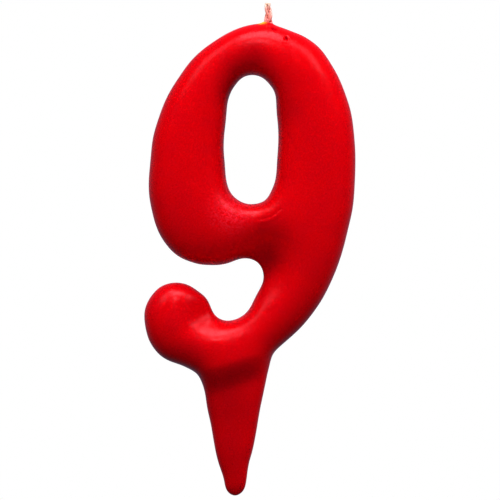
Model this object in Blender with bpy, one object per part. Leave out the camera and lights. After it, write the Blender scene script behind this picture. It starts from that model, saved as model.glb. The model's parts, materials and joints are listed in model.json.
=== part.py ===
"""Number nine birthday candle: a moulded wax numeral with its own stake, dipped in red wax, on a plaited wick.

Frame: +Z up, +X to the right as the numeral reads, front face towards -Y. The origin is on the candle's
flat back, on the stake's axis, at the level of the cake's top.
"""

import math

import bmesh
import bpy
import numpy as np
from mathutils import Vector
from mathutils.geometry import delaunay_2d_cdt

MM = 0.001

# Outline of the dipped candle, seen from the front, in millimetres: (x, z) on its outer edge.
NUMERAL_OUTLINE = [
    # crown, from the wick round the right shoulder
    (5.9, 70.8), (10.5, 69.6), (15.8, 67.0), (19.1, 63.1), (22.7, 55.3), (23.8, 50.4),
    # right stroke, down to the stake
    (23.9, 35.9), (23.0, 30.7), (19.6, 19.7), (15.0, 12.0), (9.0, 6.1), (8.1, 5.3),
    # stake, down the right side and up the left
    (5.6, -4.3), (3.1, -16.5), (0.1, -23.5), (-2.4, -19.0), (-5.1, -7.3), (-7.2, 0.5),
    # tail and its round end
    (-8.6, 1.6), (-15.0, 4.8), (-17.7, 10.1), (-17.0, 15.6), (-12.2, 19.0), (-6.0, 16.4),
    # gap between tail and bowl
    (-3.3, 12.1), (-1.7, 11.5), (1.7, 12.4), (4.2, 16.0), (5.8, 21.1), (3.5, 23.7), (-3.0, 22.6),
    # bowl, up its left side
    (-8.4, 23.1), (-13.0, 26.0), (-16.6, 34.3), (-16.6, 44.4), (-15.6, 50.2), (-11.4, 59.5), (-4.6, 66.8),
]
COUNTER_OUTLINE = [
    (3.7, 60.5), (0.2, 58.4), (-1.7, 50.7), (-1.8, 42.5), (0.0, 36.2),
    (4.9, 34.9), (7.1, 36.7), (8.7, 44.7), (8.5, 53.3), (7.7, 57.8),
]

# Depth of the candle, to the front and to the back of the plane that holds its outline and its wick.
FRONT_DEPTH = 7.6
BACK_DEPTH = 5.0
OUTLINE_PLANE = -BACK_DEPTH
ROLL_WIDTH = 4.0
FLAT_FROM_FULLNESS = 0.66

# Shallow hollows of the front at the inner corners, where strokes meet: (x, z) of the centre, the reach along and
# across the hollow, the angle of its long direction from +X, and the share of the depth that it takes.
HOLLOWS = [
    ((6.1, 23.3), (4.8, 6.2), 0.0, 0.76),
    ((-5.3, 12.7), (3.8, 3.5), 0.0, 0.47),
    ((-9.0, 10.2), (3.4, 1.7), 35.0, 0.03),
]

# Below the tail the front steps back to the shallower stake. The step's two ends are heights on the stake's axis.
STAKE_SHALLOWER_BY = 0.30
SHOULDER_HEIGHTS = (-2.2, 3.7)
SHOULDER_RISE_TO_RIGHT = 0.3

# The red dip and the moulding inside it.
COAT_THICKNESS = 0.8
FIT_GAP = 0.3

# The plaited wick.
WICK_EXIT = (6.9, 70.8)
WICK_BEND_ABOVE_WAX = 0.45
WICK_FREE_LENGTH = 3.5
WICK_LEAN = -0.2
WICK_PATH = [
    (6.9, 69.7), (7.8, 67.0), (11.6, 62.2), (14.9, 55.6), (16.2, 47.6), (16.1, 38.6),
    (14.8, 30.0), (12.6, 21.6), (9.0, 13.6), (4.2, 6.6), (1.0, 1.0), (0.2, -6.0),
]
YARN_LETTERS = "abc"
YARN_RADIUS = 0.27
PLAIT_SWING = 0.50
PLAIT_DEPTH = 0.42
PLAIT_PITCH = 7.5
PLAIT_STEPS = 9
TIP_TIGHTENING = 0.85
WICK_HOLE_RADIUS = PLAIT_SWING + YARN_RADIUS + FIT_GAP

# Fineness of the meshes.
EDGE_SPACING = 2.0
FIELD_SPACING = 2.6
FIELD_CLEAR_OF_RINGS = 1.2
RING_DEPTHS = (0.16, 0.62, 1.35)
CURVE_RESOLUTION = 12
CHANNEL_STEPS = 30
HOLE_SEGMENTS = 12
SAME_POINT = 1e-5


def clear_scene():
    for existing in list(bpy.data.objects):
        bpy.data.objects.remove(existing)


def plain_material(name, colour, roughness):
    material = bpy.data.materials.new(name)
    material.use_nodes = True
    shader = material.node_tree.nodes["Principled BSDF"]
    shader.inputs["Base Color"].default_value = (*colour, 1.0)
    shader.inputs["Roughness"].default_value = roughness
    shader.inputs["Metallic"].default_value = 0.0
    return material


def add_object(name, data, material=None):
    made = bpy.data.objects.new(name, data)
    bpy.context.scene.collection.objects.link(made)
    if material:
        made.data.materials.append(material)
    return made


def hide_helper(helper):
    helper.hide_render = True
    helper.display_type = "WIRE"


def smooth_loop(anchors):
    """A closed Bezier curve with automatic handles through the anchors, as (x, z) points."""
    curve = bpy.data.curves.new("outline_guide", "CURVE")
    curve.resolution_u = CURVE_RESOLUTION
    spline = curve.splines.new("BEZIER")
    spline.use_cyclic_u = True
    spline.bezier_points.add(len(anchors) - 1)
    for point, (x, z) in zip(spline.bezier_points, anchors):
        point.co = (x, z, 0.0)
        point.handle_left_type = point.handle_right_type = "AUTO"
    guide = add_object("outline_guide", curve)
    bpy.context.view_layer.update()
    evaluated = guide.evaluated_get(bpy.context.evaluated_depsgraph_get())
    mesh = evaluated.to_mesh()
    points = np.array([vertex.co[:2] for vertex in mesh.vertices])
    evaluated.to_mesh_clear()
    bpy.data.objects.remove(guide)
    return points


def evenly_spaced(loop, spacing):
    """Points at an even spacing round a closed loop."""
    closed = np.vstack([loop, loop[:1]])
    along = np.concatenate([[0.0], np.cumsum(np.linalg.norm(np.diff(closed, axis=0), axis=1))])
    count = round(along[-1] / spacing)
    stations = np.arange(count) * along[-1] / count
    return np.column_stack([np.interp(stations, along, closed[:, axis]) for axis in range(2)])


def inside(points, loops):
    """Whether each point is within the outline and outside the counter, by counting crossings."""
    crossings = np.zeros(len(points), int)
    for loop in loops:
        for (x0, z0), (x1, z1) in zip(loop, np.roll(loop, -1, axis=0)):
            spans = (z0 > points[:, 1]) != (z1 > points[:, 1])
            if z0 != z1:
                meets = x0 + (points[:, 1] - z0) * (x1 - x0) / (z1 - z0)
                crossings += spans & (points[:, 0] < meets)
    return crossings % 2 == 1


def distance_to_edge(points, loops):
    nearest = np.full(len(points), np.inf)
    for loop in loops:
        for start, end in zip(loop, np.roll(loop, -1, axis=0)):
            side = end - start
            share = np.clip((points - start) @ side / (side @ side), 0.0, 1.0)
            gap = np.linalg.norm(points - (start + share[:, None] * side), axis=1)
            nearest = np.minimum(nearest, gap)
    return nearest


def inset_ring(loop, loops, depth):
    """The loop moved into the wax by a depth, along its normals."""
    tangent = np.roll(loop, -1, axis=0) - np.roll(loop, 1, axis=0)
    normal = np.column_stack([-tangent[:, 1], tangent[:, 0]])
    normal /= np.linalg.norm(normal, axis=1)[:, None]
    ring = loop + depth * normal
    return ring if inside(ring, loops).mean() > 0.5 else loop - depth * normal


def face_points(loops):
    """Points over the numeral's face: rings that follow its edge, then an even field."""
    rings = [inset_ring(loop, loops, depth) for loop in loops for depth in RING_DEPTHS]
    low = loops[0].min(axis=0)
    high = loops[0].max(axis=0)
    row_height = FIELD_SPACING * math.sqrt(0.75)
    rows = np.arange(low[1], high[1], row_height)
    field = [
        (x + FIELD_SPACING / 2 * (row % 2), z)
        for row, z in enumerate(rows)
        for x in np.arange(low[0], high[0], FIELD_SPACING)
    ]
    field = np.array(field)
    field = field[inside(field, loops)]
    deep_enough = distance_to_edge(field, loops) > RING_DEPTHS[-1] + FIELD_CLEAR_OF_RINGS
    return np.vstack([*rings, field[deep_enough]])


def triangulate(loops):
    """(points, triangles) over the face. The points of the loops come first."""
    edge_points = np.vstack(loops)
    points = np.vstack([edge_points, face_points(loops)])
    edges = []
    start = 0
    for loop in loops:
        edges += [(start + i, start + (i + 1) % len(loop)) for i in range(len(loop))]
        start += len(loop)
    made = delaunay_2d_cdt([Vector(p) for p in points], edges, [], 0, SAME_POINT)
    points = np.array([tuple(p) for p in made[0]])
    triangles = np.array(made[2])
    centres = points[triangles].mean(axis=1)
    return points, triangles[inside(centres, loops)], len(edge_points)


def fullness(points, triangles, edge_count):
    """How full the wax stands at each point, from 0 at the edge to nearly 1 in a wide stroke.

    It is the height of a skin held down at the edge and blown up, with springs that stop it at 1,
    found with linear finite elements. ROLL_WIDTH is the distance over which it rises.
    """
    count = len(points)
    stiffness = np.zeros((count, count))
    weight = np.zeros(count)
    for triangle in triangles:
        corner = points[triangle]
        opposite = np.roll(corner, -1, axis=0) - np.roll(corner, -2, axis=0)
        area = abs(opposite[0, 0] * opposite[1, 1] - opposite[0, 1] * opposite[1, 0]) / 2
        stiffness[np.ix_(triangle, triangle)] += opposite @ opposite.T / (4 * area)
        weight[triangle] += area / 3
    springs = weight / ROLL_WIDTH**2
    free = slice(edge_count, count)
    height = np.zeros(count)
    height[free] = np.linalg.solve(stiffness[free, free] + np.diag(springs[free]), springs[free])
    return np.sqrt(np.clip(height, 0.0, 1.0))


def back_profile(full):
    """The back rolls over from the edge and is flat wherever the wax is full enough."""
    return BACK_DEPTH * np.sin(math.pi / 2 * np.minimum(full / FLAT_FROM_FULLNESS, 1.0))


def hollows(points):
    """The share of its depth that the front keeps at the hollows between the strokes."""
    kept = np.ones(len(points))
    for centre, (along, across), angle, taken in HOLLOWS:
        turn = math.radians(angle)
        x, z = (points - centre).T
        u = (x * math.cos(turn) + z * math.sin(turn)) / along
        v = (z * math.cos(turn) - x * math.sin(turn)) / across
        kept *= 1 - taken * np.exp(-(u**2) - v**2)
    return kept


def shoulder(points):
    """The share of its depth that the front keeps: all of it on the numeral, less of it on the stake."""
    height = points[:, 1] - SHOULDER_RISE_TO_RIGHT * points[:, 0]
    bottom, top = SHOULDER_HEIGHTS
    share = np.clip((height - bottom) / (top - bottom), 0.0, 1.0)
    return 1 - STAKE_SHALLOWER_BY * (1 - share**2 * (3 - 2 * share))


def candle_form():
    """The whole outer form as one closed mesh: a domed front, a flat back and a rolled edge between."""
    loops = [
        evenly_spaced(smooth_loop(NUMERAL_OUTLINE), EDGE_SPACING),
        evenly_spaced(smooth_loop(COUNTER_OUTLINE), EDGE_SPACING),
    ]
    points, triangles, edge_count = triangulate(loops)
    full = fullness(points, triangles, edge_count)
    front = OUTLINE_PLANE - FRONT_DEPTH * full * hollows(points) * shoulder(points)
    back = OUTLINE_PLANE + back_profile(full)
    form = bmesh.new()
    front_side = [form.verts.new((x * MM, y * MM, z * MM)) for (x, z), y in zip(points, front)]
    back_side = list(front_side[:edge_count])
    for (x, z), y in zip(points[edge_count:], back[edge_count:]):
        back_side.append(form.verts.new((x * MM, y * MM, z * MM)))
    for a, b, c in triangles:
        form.faces.new((front_side[a], front_side[b], front_side[c]))
        form.faces.new((back_side[c], back_side[b], back_side[a]))
    bmesh.ops.recalc_face_normals(form, faces=form.faces)
    mesh = bpy.data.meshes.new("candle_form")
    form.to_mesh(mesh)
    form.free()
    mesh.shade_smooth()
    return mesh


def smooth_path(anchors, steps):
    """Points along an open Catmull-Rom curve through the anchors, evenly spaced."""
    anchors = np.array(anchors)
    padded = np.vstack([2 * anchors[0] - anchors[1], anchors, 2 * anchors[-1] - anchors[-2]])
    share = np.linspace(0.0, 1.0, CURVE_RESOLUTION, endpoint=False)[:, None]
    dense = []
    for p0, p1, p2, p3 in zip(padded, padded[1:], padded[2:], padded[3:]):
        bend = share * (p2 - p0) + share**2 * (2 * p0 - 5 * p1 + 4 * p2 - p3)
        dense.append(p1 + (bend + share**3 * (3 * p1 - 3 * p2 + p3 - p0)) / 2)
    dense = np.vstack([*dense, anchors[-1:]])
    along = np.concatenate([[0.0], np.cumsum(np.linalg.norm(np.diff(dense, axis=0), axis=1))])
    stations = np.linspace(0.0, along[-1], steps)
    return np.column_stack([np.interp(stations, along, dense[:, axis]) for axis in range(2)]), along[-1]


def path_length(anchors):
    return smooth_path(anchors, 2)[1]


def plait(path, length, yarn, start_turn, swing_scale):
    """One yarn of the plait laid along a path in the plane y = 0, as (x, y, z) points."""
    heading = np.gradient(path, axis=0)
    heading /= np.linalg.norm(heading, axis=1)[:, None]
    across = np.column_stack([-heading[:, 1], heading[:, 0]])
    phase = np.linspace(0.0, length / PLAIT_PITCH, len(path)) + start_turn + yarn / len(YARN_LETTERS)
    swing = PLAIT_SWING * swing_scale * np.sin(2 * math.pi * phase)
    depth = PLAIT_DEPTH * swing_scale * np.sin(4 * math.pi * phase)
    flat = path + across * swing[:, None]
    return np.column_stack([flat[:, 0], depth, flat[:, 1]])


def round_cord(name, points, radius, bevel_resolution, material=None):
    """A round cord with closed ends along the points."""
    curve = bpy.data.curves.new(name, "CURVE")
    curve.dimensions = "3D"
    curve.bevel_depth = radius * MM
    curve.bevel_resolution = bevel_resolution
    curve.use_fill_caps = True
    spline = curve.splines.new("POLY")
    spline.points.add(len(points) - 1)
    for point, place in zip(spline.points, points):
        point.co = (*(np.array(place) * MM), 1.0)
    return add_object(name, curve, material)


def channel_cutter():
    """The room the wick takes inside the wax, open at the crown."""
    x, crown = WICK_EXIT
    path, _ = smooth_path([(x, crown + FIT_GAP), *WICK_PATH], CHANNEL_STEPS)
    along_end = (path[-1] - path[-2]) / np.linalg.norm(path[-1] - path[-2])
    path = np.vstack([path, path[-1] + FIT_GAP * along_end])
    points = [(x, OUTLINE_PLANE, z) for x, z in path]
    cord = round_cord("wick_channel_cord", points, WICK_HOLE_RADIUS, 2)
    bpy.context.view_layer.update()
    evaluated = cord.evaluated_get(bpy.context.evaluated_depsgraph_get())
    mesh = bpy.data.meshes.new_from_object(evaluated)
    bpy.data.objects.remove(cord)
    welded = bmesh.new()
    welded.from_mesh(mesh)
    bmesh.ops.remove_doubles(welded, verts=welded.verts, dist=SAME_POINT * MM)
    bmesh.ops.recalc_face_normals(welded, faces=welded.faces)
    welded.to_mesh(mesh)
    welded.free()
    cutter = add_object("wick_channel_cutter", mesh)
    hide_helper(cutter)
    return cutter


def wick_hole_cutter():
    """A short round cutter that opens the coat round the wick."""
    radius = WICK_HOLE_RADIUS * MM
    reach = 4 * (COAT_THICKNESS + FIT_GAP) * MM
    drill = bmesh.new()
    bmesh.ops.create_cone(
        drill, cap_ends=True, segments=HOLE_SEGMENTS, radius1=radius, radius2=radius, depth=reach
    )
    mesh = bpy.data.meshes.new("wick_hole_cutter")
    drill.to_mesh(mesh)
    drill.free()
    cutter = add_object("wick_hole_cutter", mesh)
    cutter.location = (WICK_EXIT[0] * MM, OUTLINE_PLANE * MM, WICK_EXIT[1] * MM)
    hide_helper(cutter)
    return cutter


def cut(target, cutter):
    hole = target.modifiers.new("wick_hole", "BOOLEAN")
    hole.operation = "DIFFERENCE"
    hole.object = cutter


def red_dip_coat(form, material):
    """The dipped skin, a shell over the whole candle that is open only round the wick."""
    coat = add_object("red_dip_coat", form.copy(), material)
    skin = coat.modifiers.new("skin", "SOLIDIFY")
    skin.thickness = COAT_THICKNESS * MM
    skin.offset = -1.0
    cut(coat, wick_hole_cutter())
    return coat


def wax_core(form, material):
    """The pale moulding under the dip, with its stake in one piece and a channel for the wick."""
    core = add_object("wax_core", form.copy(), material)
    shrink = core.modifiers.new("under_the_dip", "DISPLACE")
    shrink.strength = -(COAT_THICKNESS + FIT_GAP) * MM
    shrink.mid_level = 0.0
    cut(core, channel_cutter())
    return core


def bend_pivot():
    """The wick bends about this point, just above the wax."""
    pivot = add_object("wick_bend_pivot", None)
    pivot.location = (WICK_EXIT[0] * MM, OUTLINE_PLANE * MM, (WICK_EXIT[1] + WICK_BEND_ABOVE_WAX) * MM)
    return pivot


def wick_in_wax(material):
    """The yarns from just under the crown to the stake."""
    length = path_length(WICK_PATH)
    path, _ = smooth_path(WICK_PATH, round(length / PLAIT_PITCH * PLAIT_STEPS) + 1)
    for yarn, letter in enumerate(YARN_LETTERS):
        points = plait(path, length, yarn, 0.0, 1.0) + (0.0, OUTLINE_PLANE, 0.0)
        round_cord(f"wick_yarn_{letter}_in_wax", points, YARN_RADIUS, 1, material)


def wick_free_end(material):
    """The same yarns carried on above the bend, drawn from the tip down and hung on the pivot."""
    pivot = bend_pivot()
    steps = PLAIT_STEPS + 1
    height = np.linspace(WICK_FREE_LENGTH, 0.0, steps)
    lean = WICK_LEAN * (height / WICK_FREE_LENGTH) ** 2
    path = np.column_stack([lean, height])
    tightening = np.linspace(TIP_TIGHTENING, 1.0, steps)
    above_inner_yarns = WICK_EXIT[1] + WICK_BEND_ABOVE_WAX - WICK_PATH[0][1] + WICK_FREE_LENGTH
    start_turn = -above_inner_yarns / PLAIT_PITCH
    for yarn, letter in enumerate(YARN_LETTERS):
        points = plait(path, WICK_FREE_LENGTH, yarn, start_turn, tightening)
        cord = round_cord(f"wick_yarn_{letter}_free_end", points, YARN_RADIUS, 1, material)
        cord.parent = pivot


def build():
    clear_scene()
    red_wax = plain_material("red_wax", (0.72, 0.0, 0.006), 0.28)
    pale_wax = plain_material("pale_wax", (0.86, 0.80, 0.66), 0.45)
    waxed_cotton = plain_material("waxed_cotton", (0.90, 0.62, 0.54), 0.70)
    form = candle_form()
    red_dip_coat(form, red_wax)
    wax_core(form, pale_wax)
    wick_in_wax(waxed_cotton)
    wick_free_end(waxed_cotton)


build()
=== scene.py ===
"""The looks of the number nine candle.

A fine dipped skin goes over the CAD's pale core, and a wick of three plaited yarns stands in it.
"""

import json
import math

import bmesh
import bpy
import numpy as np
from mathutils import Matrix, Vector, noise
from mathutils.geometry import delaunay_2d_cdt


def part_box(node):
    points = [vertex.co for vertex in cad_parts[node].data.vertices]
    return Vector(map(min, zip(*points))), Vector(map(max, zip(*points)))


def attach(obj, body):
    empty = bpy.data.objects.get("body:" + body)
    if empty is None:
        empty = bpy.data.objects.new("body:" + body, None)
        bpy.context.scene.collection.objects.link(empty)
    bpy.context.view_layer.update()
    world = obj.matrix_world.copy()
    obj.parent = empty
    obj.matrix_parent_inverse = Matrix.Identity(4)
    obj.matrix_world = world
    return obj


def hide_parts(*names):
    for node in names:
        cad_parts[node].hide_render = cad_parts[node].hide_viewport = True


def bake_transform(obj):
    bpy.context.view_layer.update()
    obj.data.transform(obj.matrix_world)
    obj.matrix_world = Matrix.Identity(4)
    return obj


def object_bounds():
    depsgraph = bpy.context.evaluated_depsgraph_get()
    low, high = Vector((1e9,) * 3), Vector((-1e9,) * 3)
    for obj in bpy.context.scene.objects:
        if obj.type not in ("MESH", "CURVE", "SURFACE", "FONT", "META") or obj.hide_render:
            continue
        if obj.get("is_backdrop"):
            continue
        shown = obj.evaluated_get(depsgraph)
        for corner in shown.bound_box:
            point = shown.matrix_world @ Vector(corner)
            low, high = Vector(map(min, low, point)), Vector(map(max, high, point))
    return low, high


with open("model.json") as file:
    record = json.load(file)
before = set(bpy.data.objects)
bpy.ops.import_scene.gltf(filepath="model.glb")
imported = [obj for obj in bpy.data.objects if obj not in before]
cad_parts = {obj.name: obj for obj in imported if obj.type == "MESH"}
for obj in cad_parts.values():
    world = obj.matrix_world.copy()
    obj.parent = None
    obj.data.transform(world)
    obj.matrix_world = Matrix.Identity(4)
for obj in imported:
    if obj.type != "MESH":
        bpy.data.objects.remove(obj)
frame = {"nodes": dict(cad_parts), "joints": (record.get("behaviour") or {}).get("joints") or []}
cad_low, cad_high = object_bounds()

# Lengths are in millimetres unless a comment says metres. The wick bends at its foot, which lies
# in the plane where the candle's outline is widest.
MM = 0.001
WICK_FOOT = np.array(frame["joints"][0]["pos_m"]) / MM
OUTLINE_PLANE = WICK_FOOT[1]

# CAD points this close together are one vertex, and this close to the outline's plane they lie in
# it. The hole for the wick breaks into the outline, so its points near the wick are left out.
SAME_VERTEX = 1e-4
IN_PLANE = 1e-3
NEAR_WICK = 2.0

# The flat mesh of the face: rings along the edge, with a depth that grows as the square of their
# number, and a field of points inside them.
EDGE_SPACING = 0.4
FINE_SPACING = 0.13
SPLINE_SHARES = 16
RING_COUNT = 10
RING_GROWTH = 0.009
FIELD_CLEAR_OF_RINGS = 0.3
SAME_POINT = 1e-5

# The dipped skin rolls over from the edge within about ROLL_WIDTH. From these values of the
# fullness on, its back is flat and its front takes the marks in full.
ROLL_WIDTH = 4.0
FLAT_FROM_FULLNESS = 0.66
MARKED_FROM_FULLNESS = 0.3
SOLVER_STEPS = 3000
SOLVER_RESIDUE = 1e-16
# Thinner than the CAD's coat, so that its inside stays clear of the core below the marks.
COAT_THICKNESS = 0.5
WICK_HOLE_RADIUS = 0.84
WICK_HOLE_SIDES = 64
WICK_HOLE_DEPTH = 6.0
WICK_HOLE_DROP = 0.5
SLIVER = 0.002

# Shallow hollows of the front at the inner corners, where strokes meet: (x, z) of the centre,
# the reach along and across the hollow, the angle of its long direction from +X, and the share
# of the depth that it takes.
HOLLOWS = [
    ((6.1, 23.3), (4.8, 6.2), 0.0, 0.76),
    ((-5.3, 12.7), (3.8, 3.5), 0.0, 0.47),
    ((-9.0, 10.2), (3.4, 1.7), 35.0, 0.03),
]

# Below the tail the front steps back to the shallower stake. The step's two ends are heights on
# the stake's axis.
STAKE_SHALLOWER_BY = 0.30
SHOULDER_HEIGHTS = (-2.2, 3.7)
SHOULDER_RISE_TO_RIGHT = 0.3

# The skin's gentle unevenness: height, size of the waves, seed.
WAVES = [(0.045, 7.0, 1), (0.014, 2.8, 2), (0.004, 1.1, 3)]
WAVE_SHIFT = (7.3, 3.1, 5.7)

# Marks in the skin. The pit and the tear are placed as (x, z) from the foot of the wick, the
# wrinkle and the bubble from the lowest point of the counter. Each has fine mesh round it.
PIT = (3.50, -3.45)
PIT_RADIUS = 0.40
PIT_DEPTH = 0.50
PIT_RIM_RADIUS, PIT_RIM_WIDTH, PIT_RIM_HEIGHT = 0.66, 0.20, 0.04
TEAR = (1.05, -1.65)
TEAR_HALF_LENGTH, TEAR_HALF_WIDTH, TEAR_SLANT = 0.62, 0.26, 0.42
TEAR_DEPTH = 0.32
TEAR_RAGGEDNESS = [(0.05, 7, 0), (0.03, 17, 1)]
TEAR_RIM_RADIUS, TEAR_RIM_WIDTH, TEAR_RIM_HEIGHT = 1.9, 0.6, 0.03
WRINKLE = [(1.6, -3.35), (2.8, -3.20), (3.9, -2.80), (4.9, -2.15), (5.5, -1.55)]
RIDGE_OFFSET, RIDGE_WIDTH, RIDGE_HEIGHT = 0.25, 0.36, 0.07
GROOVE_OFFSET, GROOVE_WIDTH, GROOVE_DEPTH = 0.32, 0.26, 0.08
BUBBLE = (-4.2, 19.4)
BUBBLE_SIZE, BUBBLE_SOFTNESS, BUBBLE_HEIGHT = (0.7, 1.2), 0.28, 0.10
FINE_RADII = {"pit": 1.3, "tear": 1.5, "wrinkle": 2.6, "bubble": 0.7}
# The pit's painted shade reaches a little past it, and the tear has painted shade round its two
# ends, this far to each side. Both are centred just under the skin.
PIT_TINT_RADIUS = 1.4 * PIT_RADIUS
TEAR_END = (0.28, 0.0, -0.12)
TEAR_TINT_RADIUS = 0.66
JUST_UNDER = 0.1

# Wax that climbs the wick, higher on its left.
CLIMB, CLIMB_REACH, CLIMB_LEAN = 0.50, 0.62, 0.35

# Colour over the skin, at (x, z) places: the speckled patch below the counter, which carries a
# painted sheen, and spots of painted shade, a darker red where shade falls in the inner corners,
# round the counter, below the tail and down the stake, with their radius and how strong they are.
SHEEN_PATCH = (-0.6, 33.4)
SHEEN_PATCH_RADIUS = 6.5
PAINTED_SHADE_SPOTS = [
    ((5.8, 23.6), 5.6, 0.88),
    ((2.2, 24.5), 4.0, 0.35),
    ((0.8, 61.8), 6.5, 0.50),
    ((-4.2, -0.9), 4.6, 0.50),
    ((-0.6, 0.1), 4.6, 0.55),
    ((2.8, 1.3), 4.4, 0.45),
    ((-0.9, -6.0), 9.0, 0.42),
    ((-0.9, -16.0), 7.0, 0.25),
    ((-1.2, 57.5), 4.8, 0.60),
    ((4.0, 65.0), 5.0, 0.50),
    ((10.3, 54.0), 5.5, 0.35),
]

# The wick's plait, its twisted yarns and their loose fibres. The plait tightens and the yarns thin
# by these shares up to the tip. The twist is in radians per millimetre.
YARN_LETTERS = "abc"
PLAIT_PITCH = 7.5
PLAIT_SWING = 0.50
PLAIT_DEPTH = 0.42
YARN_RADIUS = 0.27
PLAIT_AT_FOOT, PLAIT_TIGHTENING = 1.08, 0.36
WICK_LEAN = -0.2
YARN_AT_FOOT, YARN_THINNING = 1.12, 0.30
YARN_STATIONS = 56
YARN_SIDES = 28
YARN_TWIST = 2.6
PLIES = 5
PLY_VALLEY, PLY_RISE = 1.06, 0.06
RAGGEDNESS, RAGGED_AROUND, RAGGED_UP = 0.06, 3, 2.5
RAGGED_SEED_STEP = 4.7
YARN_TIP_REACH = 0.4
FIBRES_PER_YARN = 12
FIBRE_SEED = 40
FIBRE_ROOT_HEIGHTS, FIBRE_CROWDING = (0.45, 1.0), 0.6
FIBRE_ROOT_REACH = 0.75
FIBRE_SPLAY = 0.45
FIBRE_RADIUS = 0.018
FIBRE_LENGTHS = (0.25, 0.6)
FIBRE_STEPS = 6
FIBRE_WANDER = 0.22


def node_points(name):
    """A CAD node's vertices without repeats, and its edges as pairs of them."""
    mesh = frame["nodes"][name].data
    places = np.array([vertex.co for vertex in mesh.vertices]) / MM
    rounded = np.round(places / SAME_VERTEX)
    _, first, same = np.unique(rounded, axis=0, return_index=True, return_inverse=True)
    same = same.ravel()
    edges = np.sort(same[np.array([edge.vertices for edge in mesh.edges])], axis=1)
    edges = np.unique(edges[edges[:, 0] != edges[:, 1]], axis=0)
    return places[first], edges


def chains(edges):
    """Edges joined end to end: open chains and closed loops, as lists of vertex numbers."""
    neighbours = {}
    for a, b in edges:
        neighbours.setdefault(a, []).append(b)
        neighbours.setdefault(b, []).append(a)
    ends = sorted(neighbours, key=lambda vertex: (len(neighbours[vertex]), vertex))
    found, seen = [], set()
    for start in ends:
        if start in seen:
            continue
        chain = [start]
        seen.add(start)
        while True:
            onward = [n for n in neighbours[chain[-1]] if n not in seen]
            if not onward:
                break
            chain.append(min(onward))
            seen.add(chain[-1])
        found.append(chain)
    return found


def cad_outlines():
    """The candle's outline and its counter, as (x, z) points where the CAD coat is widest."""
    points, edges = node_points("red_dip_coat")
    in_plane = np.abs(points[:, 1] - OUTLINE_PLANE) < IN_PLANE
    rim_edges = edges[in_plane[edges].all(axis=1)]
    loops = []
    for chain in sorted(chains(rim_edges), key=len, reverse=True)[:2]:
        loop = points[chain][:, [0, 2]]
        near_wick = np.hypot(loop[:, 0] - WICK_FOOT[0], loop[:, 1] - WICK_FOOT[2]) < NEAR_WICK
        loops.append(loop[~near_wick])
    return loops


def smooth_loop(loop, spacing):
    """An even, smooth loop of points through the loop's own: a periodic cubic spline."""
    count = len(loop)
    step = np.linalg.norm(np.roll(loop, -1, axis=0) - loop, axis=1)
    before = np.roll(step, 1)
    system = np.zeros((count, count))
    here = np.arange(count)
    system[here, here] = 2 * (before + step)
    system[here, (here - 1) % count] += step
    system[here, (here + 1) % count] += before
    ahead = (np.roll(loop, -1, axis=0) - loop) / step[:, None]
    behind = (loop - np.roll(loop, 1, axis=0)) / before[:, None]
    slope = np.linalg.solve(system, 3 * (step[:, None] * behind + before[:, None] * ahead))
    share = np.linspace(0, 1, SPLINE_SHARES, endpoint=False)[None, :, None]
    p0, p1 = loop[:, None], np.roll(loop, -1, axis=0)[:, None]
    m0 = (slope * step[:, None])[:, None]
    m1 = (np.roll(slope, -1, axis=0) * step[:, None])[:, None]
    dense = (
        (2 * share**3 - 3 * share**2 + 1) * p0
        + (share**3 - 2 * share**2 + share) * m0
        + (3 * share**2 - 2 * share**3) * p1
        + (share**3 - share**2) * m1
    ).reshape(-1, 2)
    closed = np.vstack([dense, dense[:1]])
    along = np.concatenate([[0.0], np.cumsum(np.linalg.norm(np.diff(closed, axis=0), axis=1))])
    station_count = round(along[-1] / spacing)
    stations = np.arange(station_count) / station_count * along[-1]
    return np.column_stack([np.interp(stations, along, closed[:, axis]) for axis in range(2)])


def hexagonal_field(low, high, spacing):
    """Evenly spaced points over a rectangle, every second row shifted by half a step."""
    rows = np.arange(low[1], high[1], spacing * math.sqrt(0.75))
    columns = np.arange(low[0], high[0], spacing)
    x, z = np.meshgrid(columns, rows)
    x = x + spacing / 2 * (np.arange(len(rows)) % 2)[:, None]
    return np.column_stack([x.ravel(), z.ravel()])


def signed_area(loop):
    """The area inside a loop, positive if it runs counter-clockwise."""
    x, z = loop.T
    return np.sum(x * np.roll(z, -1) - np.roll(x, -1) * z) / 2


def inward_normals(loop, is_counter):
    """Unit normals that point from the loop into the wax."""
    tangent = np.roll(loop, -1, axis=0) - np.roll(loop, 1, axis=0)
    normal = np.column_stack([-tangent[:, 1], tangent[:, 0]])
    normal /= np.linalg.norm(normal, axis=1)[:, None]
    turns_left = signed_area(loop) > 0
    return normal if turns_left != is_counter else -normal


def inside(points, loops):
    """Which points lie inside the outline and outside the counter."""
    crossings = np.zeros(len(points), int)
    for loop in loops:
        for (x0, z0), (x1, z1) in zip(loop, np.roll(loop, -1, axis=0)):
            spans = (z0 > points[:, 1]) != (z1 > points[:, 1])
            if z0 != z1:
                crossing_x = x0 + (points[:, 1] - z0) * (x1 - x0) / (z1 - z0)
                crossings += spans & (points[:, 0] < crossing_x)
    return crossings % 2 == 1


def distance_to_points(points, others):
    """The distance from each point to the nearest of the others, found in blocks to save memory."""
    block_size = 2000
    nearest = np.empty(len(points))
    for start in range(0, len(points), block_size):
        block = points[start:start + block_size]
        squares = ((block[:, None] - others[None]) ** 2).sum(axis=2)
        nearest[start:start + block_size] = np.sqrt(squares.min(axis=1))
    return nearest


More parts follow.
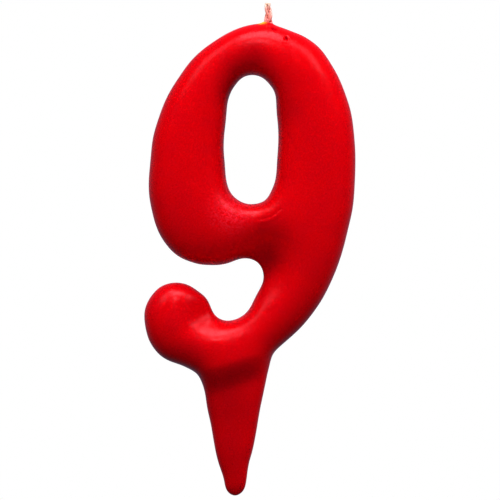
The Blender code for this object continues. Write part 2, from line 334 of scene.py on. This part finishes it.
class Face:
    """The numeral's face as a flat mesh of (x, z) points, with the outline's points first.

    It has rings of quads along the edge and triangles inside them.
    """

    def __init__(self, loops, marks):
        self.edge_count = sum(len(loop) for loop in loops)
        depths = RING_GROWTH * np.arange(RING_COUNT + 1) ** 2
        strips = []
        for number, loop in enumerate(loops):
            normal = inward_normals(loop, number == 1)
            strips.append([loop + depth * normal for depth in depths])
        inner_loops = [strip[-1] for strip in strips]
        rings = [np.vstack([strip[level] for strip in strips]) for level in range(RING_COUNT + 1)]
        quads = []
        start = 0
        for loop in loops:
            size = len(loop)
            along = np.arange(size)
            after = (along + 1) % size
            for level in range(RING_COUNT):
                low = level * self.edge_count + start
                high = low + self.edge_count
                quads.append(np.column_stack([low + along, low + after, high + after, high + along]))
            start += size
        self.quads = np.vstack(quads)
        ring_points = np.vstack(rings)
        field = self.field_points(inner_loops, marks)
        self.points = np.vstack([ring_points, field])
        self.triangles = self.triangulate(inner_loops, field, len(ring_points))

    @staticmethod
    def field_points(inner_loops, marks):
        """An even field of points inside the innermost rings, closer together at the marks."""
        low, high = inner_loops[0].min(axis=0), inner_loops[0].max(axis=0)
        field = hexagonal_field(low, high, EDGE_SPACING)
        for centre, radius in marks:
            field = field[np.linalg.norm(field - centre, axis=1) > radius]
            patch = hexagonal_field(centre - radius, centre + radius, FINE_SPACING)
            in_patch = np.linalg.norm(patch - centre, axis=1) < radius - FINE_SPACING
            field = np.vstack([field, patch[in_patch]])
        field = field[inside(field, inner_loops)]
        return field[distance_to_points(field, np.vstack(inner_loops)) > FIELD_CLEAR_OF_RINGS]

    def triangulate(self, inner_loops, field, field_start):
        """Triangles over the field and the innermost rings, numbered in the whole face's points."""
        ring = np.vstack(inner_loops)
        points = np.vstack([ring, field])
        edges = []
        start = 0
        for loop in inner_loops:
            edges += [(start + i, start + (i + 1) % len(loop)) for i in range(len(loop))]
            start += len(loop)
        made = delaunay_2d_cdt([Vector(point) for point in points], edges, [], 0, SAME_POINT)
        triangles = np.array(made[2])
        centres = points[triangles].mean(axis=1)
        triangles = triangles[inside(centres, inner_loops)]
        ring_numbers = field_start - self.edge_count + np.arange(len(ring))
        field_numbers = field_start + np.arange(len(field))
        return np.concatenate([ring_numbers, field_numbers])[triangles]

    def fullness(self):
        """How full the wax stands, as a blown-up skin does: 0 at the edge, near 1 in the middle."""
        halves = [self.quads[:, [0, 1, 2]], self.quads[:, [0, 2, 3]]]
        triangles = np.vstack([*halves, self.triangles])
        corner = self.points[triangles]
        opposite = np.roll(corner, -1, axis=1) - np.roll(corner, -2, axis=1)
        (x0, z0), (x1, z1) = opposite[:, 0].T, opposite[:, 1].T
        area = np.abs(x0 * z1 - z0 * x1) / 2
        stiff = np.einsum("tia,tja->tij", opposite, opposite) / (4 * area[:, None, None])
        count = len(self.points)
        weight = np.bincount(triangles.ravel(), np.repeat(area / 3, 3), count) / ROLL_WIDTH**2
        rows = np.repeat(triangles, 3, axis=1).ravel()
        columns = np.tile(triangles, (1, 3)).ravel()
        entries = stiff.reshape(-1)
        free = np.arange(count) >= self.edge_count

        def apply(values):
            """The system's product with a value at each point, with the edge held at 0."""
            pulled = np.bincount(rows, entries * values[columns], count)
            return np.where(free, pulled + weight * values, 0.0)

        own = np.einsum("tii->ti", stiff).ravel()
        diagonal = np.bincount(triangles.ravel(), own, count) + weight
        height = conjugate_gradient(apply, np.where(free, weight, 0.0), diagonal)
        return np.sqrt(np.clip(height, 0.0, 1.0))


def conjugate_gradient(apply, wanted, diagonal):
    """Solves a symmetric system, with its diagonal as the preconditioner."""
    value = np.zeros_like(wanted)
    left = wanted.copy()
    scaled = left / diagonal
    along = scaled.copy()
    strength = left @ scaled
    first = strength
    for _ in range(SOLVER_STEPS):
        moved = apply(along)
        step = strength / (along @ moved)
        value += step * along
        left -= step * moved
        scaled = left / diagonal
        fresh = left @ scaled
        if fresh < SOLVER_RESIDUE * first:
            break
        along = scaled + fresh / strength * along
        strength = fresh
    return value


def hollows(points):
    """The share of its depth that the front keeps at the hollows between the strokes."""
    kept = np.ones(len(points))
    for centre, (along, across), angle, taken in HOLLOWS:
        turn = math.radians(angle)
        x, z = (points - centre).T
        u = (x * math.cos(turn) + z * math.sin(turn)) / along
        v = (z * math.cos(turn) - x * math.sin(turn)) / across
        kept *= 1 - taken * np.exp(-(u**2) - v**2)
    return kept


def shoulder(points):
    """The share of its depth that the front keeps: all on the numeral, less on the stake."""
    height = points[:, 1] - SHOULDER_RISE_TO_RIGHT * points[:, 0]
    bottom, top = SHOULDER_HEIGHTS
    share = np.clip((height - bottom) / (top - bottom), 0.0, 1.0)
    return 1 - STAKE_SHALLOWER_BY * (1 - share**2 * (3 - 2 * share))


def mesh_object(name, places, faces):
    """A smooth object with its faces pointing out, from places in millimetres."""
    mesh = bpy.data.meshes.new(name)
    mesh.from_pydata((places * MM).tolist(), [], faces)
    mesh.validate()
    shape = bmesh.new()
    shape.from_mesh(mesh)
    bmesh.ops.recalc_face_normals(shape, faces=shape.faces)
    shape.to_mesh(mesh)
    shape.free()
    mesh.shade_smooth()
    made = bpy.data.objects.new(name, mesh)
    bpy.context.scene.collection.objects.link(made)
    return made


def point_normals(mesh):
    """The vertex normals, one row for each vertex."""
    normals = np.empty(len(mesh.vertices) * 3, np.float32)
    mesh.vertex_normals.foreach_get("vector", normals)
    return normals.reshape(-1, 3).astype(float)


def bump(distance, radius):
    """1 where the distance is 0, falling smoothly to nearly 0 at twice the radius."""
    return np.exp(-((distance / radius) ** 2))


def distance_to_path(points, path):
    """The distance to a path of straight pieces, and the side: negative to its right."""
    nearest = np.full(len(points), np.inf)
    for start, end in zip(path[:-1], path[1:]):
        piece = end - start
        share = np.clip((points - start) @ piece / (piece @ piece), 0, 1)
        away = points - start - share[:, None] * piece
        distance = np.linalg.norm(away, axis=1)
        side = np.sign(piece[0] * away[:, 1] - piece[1] * away[:, 0])
        nearest = np.where(distance < np.abs(nearest), side * distance, nearest)
    return nearest


def waviness(places, size, seed):
    """Smooth noise from -1 to 1 over the surface, with waves of the given size."""
    offset = Vector([seed * shift for shift in WAVE_SHIFT])
    return np.array([noise.noise(Vector(place / size) + offset) for place in places])


def relief(places, front, marks):
    """How far each point of the skin stands out, in millimetres."""
    flat = places[:, [0, 2]]
    stands = sum(height * waviness(places, size, seed) for height, size, seed in WAVES)
    pit = np.linalg.norm(flat - marks["pit"], axis=1)
    rim = PIT_RIM_HEIGHT * bump(pit - PIT_RIM_RADIUS, PIT_RIM_WIDTH)
    stands += front * (rim - PIT_DEPTH * np.exp(-((pit / PIT_RADIUS) ** 4)))
    x, z = (flat - marks["tear"]).T
    ragged = sum(height * np.sin(rate * x + phase) for height, rate, phase in TEAR_RAGGEDNESS)
    tear = np.hypot(x / TEAR_HALF_LENGTH, (z + TEAR_SLANT * x + ragged) / TEAR_HALF_WIDTH)
    stands -= front * TEAR_DEPTH * np.exp(-(tear**4))
    stands += front * TEAR_RIM_HEIGHT * bump(tear - TEAR_RIM_RADIUS, TEAR_RIM_WIDTH)
    fold = distance_to_path(flat, marks["wrinkle"])
    ridge = RIDGE_HEIGHT * bump(fold + RIDGE_OFFSET, RIDGE_WIDTH)
    groove = GROOVE_DEPTH * bump(fold - GROOVE_OFFSET, GROOVE_WIDTH)
    stands += front * (ridge - groove)
    bubble = np.linalg.norm((flat - marks["bubble"]) / BUBBLE_SIZE, axis=1)
    return stands + front * BUBBLE_HEIGHT * bump(bubble, BUBBLE_SOFTNESS)


def meniscus(places):
    """The wax that climbs the wick: how far each point rises, in millimetres."""
    around = np.hypot(places[:, 0] - WICK_FOOT[0], places[:, 1] - WICK_FOOT[1])
    near_crown = places[:, 2] > WICK_FOOT[2] - NEAR_WICK
    leaning = 1 - CLIMB_LEAN * np.tanh(places[:, 0] - WICK_FOOT[0])
    away = np.maximum(around - WICK_HOLE_RADIUS, 0)
    return near_crown * CLIMB * leaning * np.exp(-away / CLIMB_REACH)


def coat_surface():
    """The coat's outer surface as one closed mesh."""
    outline, counter = cad_outlines()
    loops = [smooth_loop(outline, EDGE_SPACING), smooth_loop(counter, EDGE_SPACING)]
    foot = WICK_FOOT[[0, 2]]
    lip = loops[1][loops[1][:, 1].argmin()]
    marks = {
        "pit": foot + PIT,
        "tear": foot + TEAR,
        "wrinkle": lip + WRINKLE,
        "bubble": lip + BUBBLE,
    }
    centres = {name: np.atleast_2d(mark).mean(axis=0) for name, mark in marks.items()}
    face = Face(loops, [(centres[name], radius) for name, radius in FINE_RADII.items()])
    full = face.fullness()
    low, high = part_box("red_dip_coat")
    kept = shoulder(face.points) * hollows(face.points)
    front_depth = (OUTLINE_PLANE - low.y / MM) / (full * kept).max()
    back_depth = high.y / MM - OUTLINE_PLANE
    front = OUTLINE_PLANE - front_depth * full * kept
    rounded = np.minimum(full / FLAT_FROM_FULLNESS, 1.0)
    back = OUTLINE_PLANE + back_depth * np.sin(math.pi / 2 * rounded)
    x, z = face.points.T
    count, edge = len(x), face.edge_count
    places = np.vstack([
        np.column_stack([x, front, z]),
        np.column_stack([x, back, z])[edge:],
    ])
    on_back = np.concatenate([np.arange(edge), count + np.arange(count - edge)])
    faces = face.quads.tolist() + face.triangles.tolist()
    faces += on_back[face.quads[:, ::-1]].tolist() + on_back[face.triangles[:, ::-1]].tolist()
    surface = mesh_object("red_dip_skin", places, faces)
    is_front = np.zeros(len(places))
    is_front[:count] = np.clip(full / MARKED_FROM_FULLNESS, 0, 1)
    places += point_normals(surface.data) * relief(places, is_front, marks)[:, None]
    places[:, 2] += meniscus(places)
    surface.data.vertices.foreach_set("co", (places * MM).ravel())
    surface.data.update()
    return surface


def hollow_out(surface):
    """Leaves only the coat's thickness, with the hole that the wick passes through."""
    shell = surface.modifiers.new("thickness", "SOLIDIFY")
    shell.thickness = COAT_THICKNESS * MM
    shell.offset = -1
    bpy.ops.mesh.primitive_cylinder_add(
        vertices=WICK_HOLE_SIDES,
        radius=WICK_HOLE_RADIUS * MM,
        depth=WICK_HOLE_DEPTH * MM,
        location=(WICK_FOOT - (0, 0, WICK_HOLE_DROP)) * MM,
    )
    cutter = bpy.context.object
    hole = surface.modifiers.new("wick_hole", "BOOLEAN")
    hole.object = cutter
    hole.solver = "MANIFOLD"
    bpy.context.view_layer.objects.active = surface
    for modifier in list(surface.modifiers):
        bpy.ops.object.modifier_apply(modifier=modifier.name)
    bpy.data.objects.remove(cutter)
    merge_slivers(surface.data)
    surface.data.shade_smooth()


def merge_slivers(mesh):
    """Merges the slivers that a cut leaves and drops what is folded flat: one closed body."""
    shape = bmesh.new()
    shape.from_mesh(mesh)
    bmesh.ops.remove_doubles(shape, verts=shape.verts, dist=SLIVER * MM)
    bmesh.ops.dissolve_degenerate(shape, edges=shape.edges, dist=SLIVER * MM)
    bmesh.ops.triangulate(shape, faces=shape.faces)
    same_corners = {}
    for face in shape.faces:
        same_corners.setdefault(frozenset(face.verts), []).append(face)
    folded = [face for faces in same_corners.values() if len(faces) > 1 for face in faces]
    bmesh.ops.delete(shape, geom=folded, context="FACES")
    shape.to_mesh(mesh)
    shape.free()


def yarn_path(letter, count):
    """The centre line of one yarn's free end, from inside the yarn in the wax up to the tip.

    With it comes how far each point is raised: 0 at the foot of the wick, 1 at its tip.
    """
    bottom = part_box(f"wick_yarn_{letter}_in_wax")[1].z / MM - YARN_RADIUS
    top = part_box(f"wick_yarn_{letter}_free_end")[1].z / MM
    tip = max(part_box(f"wick_yarn_{other}_free_end")[1].z for other in YARN_LETTERS) / MM
    buried = min(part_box(f"wick_yarn_{other}_in_wax")[1].z for other in YARN_LETTERS) / MM
    height = np.linspace(bottom, top, count)
    raised = np.clip((height - WICK_FOOT[2]) / (tip - WICK_FOOT[2]), 0, 1)
    phase = (buried - height) / PLAIT_PITCH + YARN_LETTERS.index(letter) / len(YARN_LETTERS)
    spread = PLAIT_AT_FOOT - PLAIT_TIGHTENING * raised
    x = WICK_FOOT[0] + WICK_LEAN * raised**2 + PLAIT_SWING * spread * np.sin(2 * math.pi * phase)
    y = WICK_FOOT[1] + PLAIT_DEPTH * spread * np.sin(4 * math.pi * phase)
    return np.column_stack([x, y, height]), raised


def twisted_yarn(path, raised, seed):
    """Points and faces of a yarn of twisted plies, thinner towards its tip."""
    ahead = np.gradient(path, axis=0)
    ahead /= np.linalg.norm(ahead, axis=1)[:, None]
    side = np.cross(ahead, (0.0, 1.0, 0.0))
    side /= np.linalg.norm(side, axis=1)[:, None]
    front = np.cross(side, ahead)
    angle = np.linspace(0, 2 * math.pi, YARN_SIDES, endpoint=False)
    twist = YARN_TWIST * (path[:, 2] - path[0, 2])
    radius = YARN_RADIUS * (YARN_AT_FOOT - YARN_THINNING * raised)
    ply = PLY_VALLEY + PLY_RISE * np.abs(np.cos(PLIES / 2 * (angle[None, :] + twist[:, None])))
    across, along = np.cos(angle) * RAGGED_AROUND + seed, np.sin(angle) * RAGGED_AROUND
    ragged = np.array([
        [noise.noise(Vector((x, y, height * RAGGED_UP))) for x, y in zip(across, along)]
        for height in path[:, 2]
    ])
    reach = radius[:, None] * (ply + RAGGEDNESS * ragged)
    rings = (
        path[:, None]
        + reach[..., None] * np.cos(angle)[None, :, None] * side[:, None]
        + reach[..., None] * np.sin(angle)[None, :, None] * front[:, None]
    )
    count = len(path)
    tip = path[-1:] + YARN_TIP_REACH * YARN_RADIUS * ahead[-1:]
    places = np.vstack([rings.reshape(-1, 3), path[:1], tip])
    after = (np.arange(YARN_SIDES) + 1) % YARN_SIDES
    faces = []
    for ring in range(count - 1):
        low, high = ring * YARN_SIDES, (ring + 1) * YARN_SIDES
        faces += [(low + i, low + after[i], high + after[i], high + i) for i in range(YARN_SIDES)]
    last = (count - 1) * YARN_SIDES
    ends = count * YARN_SIDES
    faces += [(ends, after[i], i) for i in range(YARN_SIDES)]
    faces += [(ends + 1, last + i, last + after[i]) for i in range(YARN_SIDES)]
    return places, faces


def fibre(start, heading, length, random):
    """Points and faces of one loose cotton fibre: a thin, three-sided, tapering hair."""
    places = [np.array(start)]
    heading = np.array(heading, float)
    for _ in range(FIBRE_STEPS):
        heading += random.normal(0, FIBRE_WANDER, 3)
        heading /= np.linalg.norm(heading)
        places.append(places[-1] + heading * length / FIBRE_STEPS)
    across = np.cross(heading, (0.3, 1.0, 0.2))
    across /= np.linalg.norm(across)
    other = np.cross(across, heading)
    ring_points, faces = [], []
    for number, place in enumerate(places[:-1]):
        thickness = FIBRE_RADIUS * (1 - number / FIBRE_STEPS)
        for corner in range(3):
            turn = 2 * math.pi * corner / 3
            outward = math.cos(turn) * across + math.sin(turn) * other
            ring_points.append(place + thickness * outward)
    ring_points.append(places[-1])
    for number in range(FIBRE_STEPS - 1):
        low, high = number * 3, number * 3 + 3
        faces += [(low + c, low + (c + 1) % 3, high + (c + 1) % 3, high + c) for c in range(3)]
    last = (FIBRE_STEPS - 1) * 3
    faces += [(last + c, last + (c + 1) % 3, last + 3) for c in range(3)]
    faces.append((2, 1, 0))
    return np.array(ring_points), faces


def wick_yarn(letter, material):
    """The free end of one yarn with its loose fibres."""
    number = YARN_LETTERS.index(letter)
    random = np.random.default_rng(FIBRE_SEED + number)
    path, raised = yarn_path(letter, YARN_STATIONS)
    places, faces = twisted_yarn(path, raised, number * RAGGED_SEED_STEP)
    groups, start = [places], len(places)
    for _ in range(FIBRES_PER_YARN):
        share = random.uniform(*FIBRE_ROOT_HEIGHTS) ** FIBRE_CROWDING
        where = int(share * (len(path) - 1))
        turn = random.uniform(0, 2 * math.pi)
        outward = np.array([math.cos(turn), math.sin(turn), 0.0])
        root = path[where] + outward * YARN_RADIUS * FIBRE_ROOT_REACH
        length = random.uniform(*FIBRE_LENGTHS)
        hair, hair_faces = fibre(root, outward * FIBRE_SPLAY + (0, 0, 1), length, random)
        groups.append(hair)
        faces += [tuple(start + vertex for vertex in face) for face in hair_faces]
        start += len(hair)
    yarn = mesh_object(f"wick_yarn_{letter}", np.vstack(groups), faces)
    yarn.data.materials.append(material)
    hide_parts(f"wick_yarn_{letter}_free_end")
    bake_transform(yarn)


class Shader:
    """A material's node tree, with short ways to add nodes."""

    def __init__(self, name):
        self.material = bpy.data.materials.new(name)
        self.material.use_nodes = True
        self.nodes = self.material.node_tree.nodes
        self.links = self.material.node_tree.links
        self.surface = self.nodes["Principled BSDF"]

    def add(self, kind, inputs=None, **settings):
        """A new node with its settings and inputs."""
        node = self.nodes.new(kind)
        for key, value in settings.items():
            setattr(node, key, value)
        for key, value in (inputs or {}).items():
            self.set(node, key, value)
        return node

    def set(self, node, key, value):
        """Gives a node's input a fixed value or links it to another node's output."""
        if isinstance(value, bpy.types.NodeSocket):
            self.links.new(value, node.inputs[key])
        else:
            node.inputs[key].default_value = value

    def place(self):
        """The shaded point in the part's own frame, in metres."""
        return self.add("ShaderNodeTexCoord").outputs["Object"]

    def noise(self, size, detail):
        """Noise from 0 to 1 with features of the given size in millimetres."""
        inputs = {"Vector": self.place(), "Scale": 1 / (size * MM), "Detail": detail}
        return self.add("ShaderNodeTexNoise", inputs).outputs["Fac"]

    def ramp(self, value, low, high, out_low=0.0, out_high=1.0):
        """The value taken smoothly from the span low to high into another span."""
        inputs = {"Value": value, "From Min": low, "From Max": high}
        inputs.update({"To Min": out_low, "To Max": out_high})
        node = self.add("ShaderNodeMapRange", inputs, interpolation_type="SMOOTHSTEP")
        return node.outputs["Result"]

    def mix(self, share, a, b, blend_type="MIX"):
        """Colour a, with colour b over it in the given share."""
        node = self.add("ShaderNodeMix", data_type="RGBA", blend_type=blend_type)
        self.set(node, 0, share)
        self.set(node, 6, a)
        self.set(node, 7, b)
        return node.outputs[2]

    def maths(self, operation, a, b):
        """Two values put together by one operation."""
        return self.add("ShaderNodeMath", {0: a, 1: b}, operation=operation).outputs[0]

    def near(self, centre, radius):
        """1 at a place given in millimetres, falling to 0 at the radius."""
        inputs = {0: self.place(), 1: tuple(centre * MM)}
        away = self.add("ShaderNodeVectorMath", inputs, operation="DISTANCE").outputs["Value"]
        return self.ramp(away, 0.0, radius * MM, 1.0, 0.0)

    def bump(self, heights):
        """Bumps on top of one another, as pairs of a value and its full height in millimetres."""
        normal = None
        for value, height in heights:
            inputs = {"Height": value, "Strength": 1.0, "Distance": height * MM}
            if normal is not None:
                inputs["Normal"] = normal
            normal = self.add("ShaderNodeBump", inputs).outputs["Normal"]
        self.set(self.surface, "Normal", normal)


RED = (0.80, 0.0, 0.006, 1)
DEEP_RED = (0.76, 0.0, 0.008, 1)
# The darker red of the painted shade in the corners and under the strokes.
PAINTED_SHADE_RED = (0.40, 0.0, 0.006, 1)
SHADED_RED = (0.36, 0.0, 0.012, 1)
# A paler pinkish red: painted sheen on the speckles below the counter.
SPECKLED_SHEEN_RED = (0.95, 0.035, 0.075, 1)
THIN_WAX = (0.98, 0.62, 0.06, 1)
PALE_WAX = (0.90, 0.85, 0.72, 1)
CLOUDED_WAX = (0.84, 0.78, 0.64, 1)
PINK_COTTON = (0.97, 0.24, 0.24, 1)
PALE_COTTON = (0.96, 0.46, 0.40, 1)
TIP_COTTON = (0.97, 0.74, 0.62, 1)

# Where the dip is thinnest, from the foot of the wick.
THIN_SPOT = (-1.35, -0.4, -0.1)
THIN_SPOT_RADIUS = 1.6

# Heights over the foot of the wick between which the cotton's colours change.
STAIN_HEIGHTS = (0.4, 1.7)
TIP_HEIGHTS = (2.8, 4.2)
STAIN_UNEVENNESS = 1.4


def on_front(x, z):
    """The point of the skin's front with this x and z."""
    before_it = Vector((x * MM, cad_low.y - MM, z * MM))
    met = bpy.data.objects["red_dip_skin"].ray_cast(before_it, Vector((0, 1, 0)))
    return np.array(met[1]) / MM


def on_crown(mark):
    """Just under the skin's front, at a mark that is given from the foot of the wick."""
    return on_front(*(WICK_FOOT[[0, 2]] + mark)) + (0.0, JUST_UNDER, 0.0)


def red_wax():
    """Glossy dipped wax with painted shade and painted sheen, orange at the left of the wick's foot.
    """
    wax = Shader("red_wax")
    mottle = wax.ramp(wax.noise(size=3.2, detail=3), low=0.35, high=0.7)
    colour = wax.mix(mottle, RED, DEEP_RED)
    # Painted shade: each spot darkens the red where shade falls.
    for place, radius, share in PAINTED_SHADE_SPOTS:
        shade_spot = wax.maths("MULTIPLY", wax.near(on_front(*place), radius), share)
        colour = wax.mix(shade_spot, colour, PAINTED_SHADE_RED)
    colour = wax.mix(wax.near(WICK_FOOT + THIN_SPOT, THIN_SPOT_RADIUS), colour, THIN_WAX)
    # Painted shade in the pit and the tear, where shade falls in the dents.
    in_pit = wax.near(on_crown(PIT), PIT_TINT_RADIUS)
    tear_ends = [on_crown(TEAR) + side * np.array(TEAR_END) for side in (-1, 1)]
    in_tear = wax.maths("MAXIMUM", *[wax.near(end, TEAR_TINT_RADIUS) for end in tear_ends])
    in_mark = wax.maths("MAXIMUM", in_pit, in_tear)
    colour = wax.mix(in_mark, colour, SHADED_RED)
    dull_in_mark = wax.ramp(in_mark, low=0.0, high=0.5, out_low=0.5, out_high=0.0)
    wax.set(wax.surface, "Specular IOR Level", dull_in_mark)
    # The speckles are the wax's own; their paler pinkish red is a painted sheen where the highlight
    # falls.
    speckled = wax.ramp(wax.noise(size=0.30, detail=2), low=0.45, high=0.62)
    speckled_sheen = wax.maths("MULTIPLY", wax.near(on_front(*SHEEN_PATCH), SHEEN_PATCH_RADIUS), speckled)
    wax.set(wax.surface, "Base Color", wax.mix(speckled_sheen, colour, SPECKLED_SHEEN_RED))
    smears = wax.noise(size=1.6, detail=4)
    roughness = wax.ramp(smears, low=0.3, high=0.75, out_low=0.22, out_high=0.32)
    wax.set(wax.surface, "Roughness", roughness)
    wax.set(wax.surface, "IOR", 1.44)
    specks = wax.ramp(wax.noise(size=0.35, detail=2), low=0.60, high=0.72)
    wax.bump([(wax.noise(size=0.9, detail=3), 0.008), (specks, 0.007)])
    return wax.material


def pale_wax():
    """Cast paraffin: pale, satin and translucent, with fine grain."""
    wax = Shader("pale_wax")
    clouds = wax.ramp(wax.noise(size=5.0, detail=3), low=0.35, high=0.7)
    wax.set(wax.surface, "Base Color", wax.mix(clouds, PALE_WAX, CLOUDED_WAX))
    satin = wax.ramp(wax.noise(size=1.2, detail=3), low=0.3, high=0.7, out_low=0.42, out_high=0.55)
    wax.set(wax.surface, "Roughness", satin)
    wax.set(wax.surface, "Subsurface Weight", 0.3)
    wax.set(wax.surface, "Subsurface Radius", (1.0, 0.8, 0.5))
    wax.set(wax.surface, "Subsurface Scale", 1.0 * MM)
    wax.bump([(wax.noise(size=0.6, detail=3), 0.02)])
    return wax.material


def wick_cotton():
    """Waxed cotton, stained red where it leaves the wax, pale at its tip, with fibres along it."""
    cotton = Shader("wick_cotton")
    height = cotton.add("ShaderNodeSeparateXYZ", {0: cotton.place()}).outputs["Z"]
    uneven = cotton.maths("MULTIPLY", cotton.noise(size=0.5, detail=3), STAIN_UNEVENNESS * MM)
    level = cotton.maths("ADD", height, uneven)
    above_stain = cotton.ramp(level, *[(WICK_FOOT[2] + rise) * MM for rise in STAIN_HEIGHTS])
    at_tip = cotton.ramp(level, *[(WICK_FOOT[2] + rise) * MM for rise in TIP_HEIGHTS])
    colour = cotton.mix(above_stain, PINK_COTTON, PALE_COTTON)
    colour = cotton.mix(at_tip, colour, TIP_COTTON)
    stretch = {"Vector": cotton.place(), "Scale": (1.0, 1.0, 0.12)}
    stretched = cotton.add("ShaderNodeMapping", stretch).outputs[0]
    inputs = {"Scale": 9000.0, "Detail": 3.0, "Vector": stretched}
    grain = cotton.add("ShaderNodeTexNoise", inputs).outputs["Fac"]
    dark = cotton.ramp(grain, low=0.35, high=0.55, out_low=0.94, out_high=1.0)
    cotton.set(cotton.surface, "Base Color", cotton.mix(1.0, colour, dark, "MULTIPLY"))
    cotton.set(cotton.surface, "Roughness", 0.6)
    cotton.set(cotton.surface, "Specular IOR Level", 0.2)
    cotton.bump([(grain, 0.002)])
    return cotton.material


# Soft boxes round the candle: azimuth from the front towards the right, elevation, width and
# height in metres, power in watts, and what they light: the wax's colour ("body") or its
# reflections ("gloss"). The distance is in metres.
LIGHT_DISTANCE = 0.6
SOFTBOXES = {
    "over_front": (0, 65, 0.50, 0.12, 1.44, "body"),
    "body_top": (0, 85, 0.40, 0.40, 0.73, "body"),
    "side_right": (90, 45, 0.35, 0.35, 2.24, "body"),
    "side_left": (-80, 42, 0.35, 0.35, 1.45, "body"),
    "fill_right": (30, 15, 0.35, 0.35, 0.30, "body"),
    "fill_front": (0, 15, 0.35, 0.35, 1.90, "body"),
    "fill_back": (180, 25, 0.35, 0.35, 2.0, "body"),
    "gloss_key": (-4, 48, 0.16, 0.08, 0.26, "gloss"),
    "gloss_top": (5, 76, 0.42, 0.30, 2.10, "gloss"),
    "gloss_right": (60, 45, 0.20, 0.30, 0.43, "gloss"),
    "gloss_left": (-60, 50, 0.20, 0.30, 0.34, "gloss"),
}
GLOSS_TINT = (1.0, 0.86, 1.0)
WHITE = (1.0, 1.0, 1.0, 1)
BLACK = (0.0, 0.0, 0.0, 1)
BACKDROP_IN_GLOSS = (0.80, 0.72, 1.0, 1)
BACKDROP_IN_GLOSS_STRENGTH = 0.4
BACKDROP_SPAN = (0.1, 1.0)
SKY_FILL_STRENGTH = 0.07
FLOOR_SIZE_IN_METRES = 3.0
FLOOR_GAP = 0.2
FLOOR_GREY = (0.86, 0.86, 0.86, 1)
DISPLAY_GAMMA = 0.8


def softboxes():
    """Area lights that face the candle's middle."""
    low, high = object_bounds()
    centre = (low + high) / 2
    for name, (azimuth, elevation, width, height, power, lit) in SOFTBOXES.items():
        turn, rise = math.radians(azimuth), math.radians(elevation)
        level = math.cos(rise)
        towards = Vector((math.sin(turn) * level, -math.cos(turn) * level, math.sin(rise)))
        data = bpy.data.lights.new(name, "AREA")
        data.shape = "RECTANGLE"
        data.size = width
        data.size_y = height
        data.energy = power
        if lit == "gloss":
            data.color = GLOSS_TINT
        light = bpy.data.objects.new(name, data)
        bpy.context.scene.collection.objects.link(light)
        light.location = centre + towards * LIGHT_DISTANCE
        light.rotation_euler = (-towards).to_track_quat("-Z", "Y").to_euler()
        light.visible_glossy = lit != "body"
        light.visible_diffuse = lit != "gloss"
        data.cycles.use_multiple_importance_sampling = lit != "body"


def world_light():
    """A white backdrop behind the candle, fainter in its reflections, and a very faint sky."""
    world = bpy.data.worlds.new("studio")
    world.use_nodes = True
    bpy.context.scene.world = world
    nodes, links = world.node_tree.nodes, world.node_tree.links
    nodes.clear()

    def background(colour, strength):
        """One plain light of the sky."""
        node = nodes.new("ShaderNodeBackground")
        node.inputs["Color"].default_value = colour
        node.inputs["Strength"].default_value = strength
        return node.outputs[0]

    path = nodes.new("ShaderNodeLightPath")
    direction = nodes.new("ShaderNodeSeparateXYZ")
    links.new(nodes.new("ShaderNodeTexCoord").outputs["Generated"], direction.inputs[0])
    behind = nodes.new("ShaderNodeMapRange")
    behind.inputs["From Min"].default_value = BACKDROP_SPAN[0]
    behind.inputs["From Max"].default_value = BACKDROP_SPAN[1]
    links.new(direction.outputs["Y"], behind.inputs["Value"])
    mirrored = nodes.new("ShaderNodeMixShader")
    links.new(behind.outputs["Result"], mirrored.inputs["Fac"])
    links.new(background(BLACK, 0.0), mirrored.inputs[1])
    links.new(background(BACKDROP_IN_GLOSS, BACKDROP_IN_GLOSS_STRENGTH), mirrored.inputs[2])
    lit = nodes.new("ShaderNodeMixShader")
    links.new(path.outputs["Is Glossy Ray"], lit.inputs["Fac"])
    links.new(background(WHITE, SKY_FILL_STRENGTH), lit.inputs[1])
    links.new(mirrored.outputs[0], lit.inputs[2])
    seen = nodes.new("ShaderNodeMixShader")
    links.new(path.outputs["Is Camera Ray"], seen.inputs["Fac"])
    links.new(lit.outputs[0], seen.inputs[1])
    links.new(background(WHITE, 1.0), seen.inputs[2])
    output = nodes.new("ShaderNodeOutputWorld")
    links.new(seen.outputs[0], output.inputs["Surface"])


def floor():
    """A plain pale floor just under the tip of the stake."""
    low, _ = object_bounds()
    place = (0, 0, low.z - FLOOR_GAP * MM)
    bpy.ops.mesh.primitive_plane_add(size=FLOOR_SIZE_IN_METRES, location=place)
    made = bpy.context.object
    made.name = "floor"
    paint = Shader("pale_floor")
    paint.set(paint.surface, "Base Color", FLOOR_GREY)
    paint.set(paint.surface, "Roughness", 0.9)
    made.data.materials.append(paint.material)
    made.visible_diffuse = False
    made.visible_glossy = False
    made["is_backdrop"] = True


# The picture's height, and how far its centre is below the candle's, as shares of the candle's
# height. The distance is in metres.
FRAME_HEIGHT = 1.0151
FRAME_DROP = 0.0014
CAMERA_DISTANCE = 0.5


def camera():
    """Square on to the front, without perspective, as from far away."""
    centre = (cad_low + cad_high) / 2
    height = cad_high.z - cad_low.z
    data = bpy.data.cameras.new("camera")
    data.type = "ORTHO"
    data.ortho_scale = height * FRAME_HEIGHT
    made = bpy.data.objects.new("camera", data)
    bpy.context.scene.collection.objects.link(made)
    made.location = (centre.x, cad_low.y - CAMERA_DISTANCE, centre.z - height * FRAME_DROP)
    made.rotation_euler = (math.pi / 2, 0, 0)
    bpy.context.scene.camera = made


def repaint(node, material):
    """A CAD piece that is shown as it is gets the same wax or cotton."""
    shown = frame["nodes"][node]
    shown.data.materials.clear()
    shown.data.materials.append(material)


coat = coat_surface()
hollow_out(coat)
# The cut leaves an empty material slot, which would come first.
coat.data.materials.clear()
coat.data.materials.append(red_wax())
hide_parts("red_dip_coat")
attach(coat, "candle")

cotton = wick_cotton()
repaint("wax_core", pale_wax())
for letter in YARN_LETTERS:
    repaint(f"wick_yarn_{letter}_in_wax", cotton)
    wick_yarn(letter, cotton)

camera()
softboxes()
world_light()
floor()
bpy.context.scene.view_settings.view_transform = "Standard"
bpy.context.scene.view_settings.gamma = DISPLAY_GAMMA
